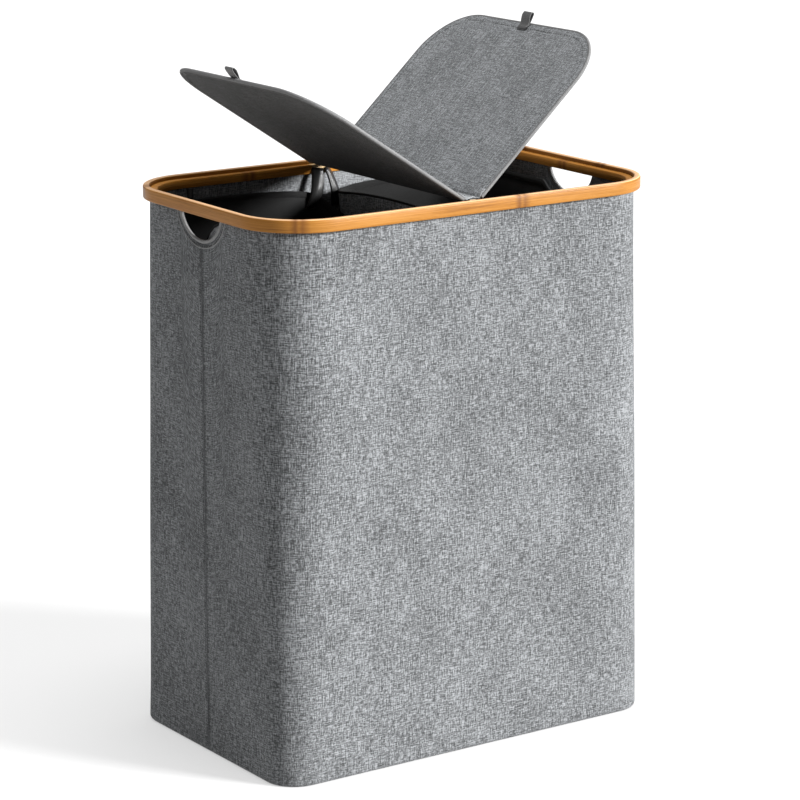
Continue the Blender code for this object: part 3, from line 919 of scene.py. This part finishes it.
def moved(outline, distance):
    """An outline pushed outwards by a distance, point by point."""
    count = len(outline)
    points = []
    for k, (x, y) in enumerate(outline):
        before = outline[k - 1]
        after = outline[(k + 1) % count]
        direction = Vector((after[0] - before[0], after[1] - before[1])).normalized()
        points.append((x + direction.y * distance, y - direction.x * distance))
    return points


def ribbon(name, path, across, material, thickness=0.0012, bow=(0.0, 0.0, 0.0)):
    """A tape along path: across gives its half width there, and bow pushes its middle out."""
    rows = []
    for k, point in enumerate(path):
        half = across(k / (len(path) - 1))
        centre = Vector(point)
        row = []
        for j in range(7):
            place = 2.0 * j / 6 - 1.0
            row.append(tuple(centre + half * place + Vector(bow) * (1.0 - place * place)))
        rows.append(row)
    return thicken(add_object(name, grid_mesh(name, rows), material), thickness, 0.0)


def make_straps():
    """Bag straps that hang, twisted at the top, from the rim's saddles to the bags."""
    for end, end_name in ((1, "back"), (-1, "front")):
        for side, name in SIDE_NAMES.items():
            path = []
            for k in range(15):
                share = k / 14
                x = side * (0.0065 + 0.0105 * share)
                slack = math.sin(math.pi * share)
                y = end * (0.1478 - 0.0065 * slack - 0.0030 * share)
                path.append((x, y, 0.6225 - 0.046 * share))

            def across(share, end=end, twist=STRAP_TWIST * side):
                angle = twist * (1.0 - share)
                turn = Vector((math.cos(angle), end * math.sin(angle), 0.15 * math.sin(angle)))
                return STRAP_HALF_WIDTH * turn

            strap = ribbon(
                "strap_" + end_name + "_" + name, path, across, STRAP,
                thickness=STRAP_THICKNESS, bow=(0.0, -STRAP_BOW * end, 0.0),
            )
            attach(strap, "root")
            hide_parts("bag_strap_" + end_name + "_" + name)


# Lid

def flap_point(side, along, across, height):
    """A point of a flap at rest, from its hinge axis outwards."""
    angle = OPEN[side]
    x = HINGE_X + along * math.cos(angle) - height * math.sin(angle)
    z = HINGE_Z + along * math.sin(angle) + height * math.cos(angle)
    return (side * x, across, z)


def half_depth_at(along, reach, half_depth, radius):
    """Half the flap's depth at a distance from the hinge, with its round outer corners."""
    past = along - (reach - radius)
    if past <= 0.0:
        return half_depth
    return half_depth - radius + math.sqrt(max(0.0, radius * radius - past * past))


def edge_stations(length, fine, border, coarse):
    """Distances from 0 to length: a fine step within border of each end, coarse between."""
    steps = int(border / fine)
    stations = [k * fine for k in range(steps)]
    middle = length - 2 * border
    count = max(2, int(middle / coarse))
    stations += [border + middle * k / count for k in range(count)]
    stations += [length - border + k * fine for k in range(steps)]
    return stations + [length]


def border_shape(distance, face):
    """Height of a cover over its flap: soft at the edge, pulled down along two grooves."""
    groove = -0.0008 * math.exp(-(((distance - BORDER_STITCH) / 0.0010) ** 2))
    groove -= 0.0008 * math.exp(-(((distance - BORDER_PIPING) / 0.0009) ** 2))
    edge = -0.0012 * max(0.0, 1.0 - distance / 0.0022) ** 2
    crown = 0.0005 * min(1.0, distance / 0.03) if face > 0 else 0.0
    return groove + edge + crown


def flap_rows(side, face):
    """Rows of a flap's cover; face is 1 on top and -1 underneath."""
    inset = 0.0006
    reach = FLAP_REACH - inset
    half_depth = FLAP_HALF_DEPTH - inset
    radius = FLAP_RADIUS - inset
    length = reach - FLAP_START
    rows = []
    for station in edge_stations(length, FINE_STEP, FINE_BORDER, 0.0060):
        along = min(FLAP_START + station, reach - 0.00001)
        wide = half_depth_at(along, reach, half_depth, radius)
        row = []
        for step in edge_stations(2 * wide, FINE_STEP, FINE_BORDER, 0.0075 * wide / half_depth):
            across = step - wide
            distance = min(wide - abs(across), reach - along)
            past = Vector((along - (reach - radius), abs(across) - (half_depth - radius)))
            if past.x > 0.0 and past.y > 0.0:
                distance = radius - past.length
            height = FLAP_HALF_THICKNESS + border_shape(max(0.0, distance), face)
            row.append(flap_point(side, along, side * across, face * height))
        rows.append(row)
    count = min(len(row) for row in rows)
    return [row if len(row) == count else resample(row, count) for row in rows]


def resample(row, count):
    """A row with the given count of its points, evenly chosen, with both ends."""
    keep = [round(k * (len(row) - 1) / (count - 1)) for k in range(count)]
    return [row[k] for k in keep]


def flap_place(side, point):
    """How far a point of a flap is from its hinge axis, and across it."""
    return math.hypot(side * point.x - HINGE_X, point.z - HINGE_Z), point.y


def lay_flap_cloth(mesh, side):
    """Lays a cover's cloth flat on its flap: UVs straight from the places on it."""
    for loop, corner in zip(mesh.loops, mesh.uv_layers[0].data):
        along, across = flap_place(side, mesh.vertices[loop.vertex_index].co)
        corner.uv = (across, along)


def wrap_border(mesh, side):
    """Gives the border of an under cover the pale cloth that wraps round the edge."""
    mesh.materials.append(WRAP)
    for face in mesh.polygons:
        along, across = flap_place(side, face.center)
        if border_distance(along, across) < BORDER_WIDTH:
            face.material_index = 1


def border_distance(along, across):
    """Distance of a place on a flap from its three free sides."""
    past_x = along - (FLAP_REACH - FLAP_RADIUS)
    past_y = abs(across) - (FLAP_HALF_DEPTH - FLAP_RADIUS)
    if past_x > 0.0 and past_y > 0.0:
        return FLAP_RADIUS - math.hypot(past_x, past_y)
    return FLAP_RADIUS - max(past_x, past_y)


def flap_edge(side, inset, height, steps=20, start=FLAP_START):
    """The flap's three free sides as a line of points."""
    reach = FLAP_REACH - inset
    half = FLAP_HALF_DEPTH - inset
    radius = FLAP_RADIUS - inset
    first = arc(reach - radius, radius - half, radius, -math.pi / 2, steps)
    second = arc(reach - radius, half - radius, radius, 0.0, steps)
    begin, end = (start, -half), (start, half)
    line = [begin] + between(begin, first[0], 20) + first
    line += between(first[-1], second[0], 20) + second + between(second[-1], end, 20) + [end]
    return [flap_point(side, along, across, height) for along, across in line]


FLAP_COVERS = (
    (1, "top", LID_TOP, "grey_linen"),
    (-1, "under", CHARCOAL, "charcoal_fabric"),
)


def make_flap(side):
    """A flap's two covers, bound edge, stitching, pull tab and hinge cloth."""
    name = SIDE_NAMES[side]
    body = name + "_flap"
    for face, face_name, material, slot in FLAP_COVERS:
        mesh = grid_mesh("flap_" + face_name + "_" + name, flap_rows(side, face))
        lay_flap_cloth(mesh, side)
        cover = add_object("flap_" + face_name + "_" + name, mesh, material)
        if face < 0:
            wrap_border(mesh, side)
        thicken(cover, FLAP_CLOTH, face)
        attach(cover, body)
        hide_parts(body + "_cover_" + face_name)
    edge = flap_edge(side, 0.0014, 0.0)
    binding = tube("flap_binding_" + name, edge, PIPING_RADIUS, BINDING)
    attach(binding, body)
    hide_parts(body + "_binding")
    start = FLAP_START + 0.004
    top = flap_edge(side, BORDER_STITCH, FLAP_HALF_THICKNESS - 0.0004, start=start)
    under = flap_edge(side, BORDER_STITCH, 0.0005 - FLAP_HALF_THICKNESS, start=start)
    stitches("flap_stitches_" + name, [top], body, THREAD, radius=0.00045)
    stitches("flap_under_stitches_" + name, [under], body, THREAD, radius=0.00035)
    make_tab(side, body)
    make_hinge_cloth(side)


def tab_line():
    """A pull tab's loop seen from its edge: (distance from the hinge, height) points.

    Both ends lie sewn on the flap's top, and the loop leans out past the flap's end.
    """
    base = FLAP_HALF_THICKNESS + 0.0009
    out = Vector((0.90, 0.436))
    normal = Vector((out.y, -out.x))
    root = Vector((0.2385, base))
    tip = root + out * TAB_LENGTH
    line = [Vector((0.2300, base)), Vector((0.2345, base)), root]
    for k in range(1, 6):
        swell = normal * TAB_WIDTH * math.sin(math.pi / 2 * k / 5)
        line.append(root + out * TAB_LENGTH * k / 5 + swell)
    for k in range(1, 7):
        angle = math.pi * k / 6
        line.append(tip + normal * TAB_WIDTH * math.cos(angle) + out * TAB_WIDTH * math.sin(angle))
    for k in range(4, -1, -1):
        swell = normal * TAB_WIDTH * math.sin(math.pi / 2 * k / 5)
        line.append(root + out * TAB_LENGTH * k / 5 - swell + Vector((-0.0006, 0.0008)))
    return line + [Vector((0.2350, base + 0.0010)), Vector((0.2310, base + 0.0010))]


def make_tab(side, body):
    """A folded ribbon pull tab at the middle of the flap's end."""
    path = [flap_point(side, point.x, 0.0, point.y) for point in tab_line()]
    half = Vector((0.0, TAB_HALF_DEPTH, 0.0))
    tab = ribbon(
        "pull_tab_" + SIDE_NAMES[side], path, lambda share: half, TAB,
        thickness=TAB_THICKNESS,
    )
    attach(tab, body)
    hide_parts(body + "_pull_tab")


def make_hinge_cloth(side):
    """The cover's cloth that bridges from the lid's centre to a flap, drawn taut."""
    angle = OPEN[side]
    top = FLAP_HALF_THICKNESS + HINGE_CLOTH
    half = FLAP_HALF_DEPTH - 0.0008
    rows = []
    for k in range(25):
        flat = -HINGE_X + 0.0004 + (HINGE_X + 0.0125) * k / 24
        share = min(1.0, max(0.0, (flat + 0.004) / 0.008))
        turn = angle * share * share * (3 - 2 * share)
        dip = -0.0012 * math.exp(-((flat / 0.003) ** 2))
        x = HINGE_X + flat * math.cos(turn) - (top + dip) * math.sin(turn)
        z = HINGE_Z + flat * math.sin(turn) + (top + dip) * math.cos(turn)
        rows.append([(side * x, side * half * (2 * j / 40 - 1), z) for j in range(41)])
    mesh = grid_mesh("hinge_cloth_" + SIDE_NAMES[side], rows)
    cloth = add_object("hinge_cloth_" + SIDE_NAMES[side], mesh, LID_TOP)
    thicken(cloth, HINGE_CLOTH)
    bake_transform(cloth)


# CAD nodes that stay as they are

CAD_FINISHES = (
    ("wall_board_", FIBREBOARD),
    ("base_board", FIBREBOARD),
    ("lid_bar", FIBREBOARD),
    ("left_flap_board", FIBREBOARD),
    ("right_flap_board", FIBREBOARD),
    ("rod_pocket_", BLACK_SOLID),
    ("rod_socket_", PLASTIC),
    ("rod_front_", STEEL),
    ("rod_back_", STEEL),
    ("lid_sleeve", CHARCOAL_SOLID),
    ("rim_saddle_", BAMBOO_SADDLE_HIGHLIT),
)


def finish_cad_nodes():
    """Gives each CAD node that shows its material, by the start of its name."""
    for name, node in frame["nodes"].items():
        for prefix, material in CAD_FINISHES:
            if name.startswith(prefix):
                node.data.materials.clear()
                node.data.materials.append(material)


# Studio

WHITE = (1.0, 1.0, 1.0, 1.0)
FLOOR_HALF_SIZE = 40.0
CAMERA_PLACE = (-2.0264, -2.9461, 1.2514)
CAMERA_TILT_DOWN = 0.2408
CAMERA_TURN = -0.6045
CAMERA_LENS = 144.7


def sun(name, towards, strength, spread, gloss=True):
    """A soft distant light; towards points from the object to the light."""
    data = bpy.data.lights.new(name, "SUN")
    data.energy = strength
    data.angle = math.radians(spread)
    lamp = bpy.data.objects.new(name, data)
    lamp.visible_glossy = gloss
    bpy.context.scene.collection.objects.link(lamp)
    lamp.rotation_euler = Vector(towards).to_track_quat("Z", "Y").to_euler()


def make_floor():
    """A wide plain floor just under the hamper, lit partly from itself to look white."""
    half = FLOOR_HALF_SIZE
    corners = [(-half, -half, 0), (half, -half, 0), (half, half, 0), (-half, half, 0)]
    mesh = bpy.data.meshes.new("floor")
    mesh.from_pydata(corners, [], [(0, 1, 2, 3)])
    made = Nodes("floor_paint")
    paint = made.finish(grey(0.30), 0.9, Emission_Color=WHITE, Emission_Strength=0.48)
    mesh.materials.append(paint)
    floor = bpy.data.objects.new("floor", mesh)
    floor.location.z = -0.0003
    bpy.context.scene.collection.objects.link(floor)


def make_studio():
    """Even light all round, a key from the front right, one from above and one from the left."""
    make_floor()
    world = bpy.data.worlds.new("studio")
    bpy.context.scene.world = world
    world.use_nodes = True
    background = world.node_tree.nodes["Background"]
    background.inputs["Color"].default_value = WHITE
    background.inputs["Strength"].default_value = 0.30
    sun("key", (0.575, -0.765, 0.29), 10.9, 16.0)
    sun("top", (0.06, -0.04, 1.0), 3.3, 36.0)
    sun("side", (-0.75, 0.65, 0.10), 0.60, 20.0, gloss=False)
    bpy.context.scene.view_settings.view_transform = "Standard"


def make_camera():
    data = bpy.data.cameras.new("camera")
    data.lens = CAMERA_LENS
    data.sensor_width = 36.0
    data.clip_end = 100.0
    camera = bpy.data.objects.new("camera", data)
    bpy.context.scene.collection.objects.link(camera)
    camera.location = CAMERA_PLACE
    camera.rotation_euler = (math.pi / 2 - CAMERA_TILT_DOWN, 0.0, CAMERA_TURN)
    bpy.context.scene.camera = camera


make_camera()
make_rim()
make_walls()
make_base()
make_handles()
for side in SIDE_NAMES:
    make_bag(side)
    make_flap(side)
make_straps()
finish_cad_nodes()
make_studio()
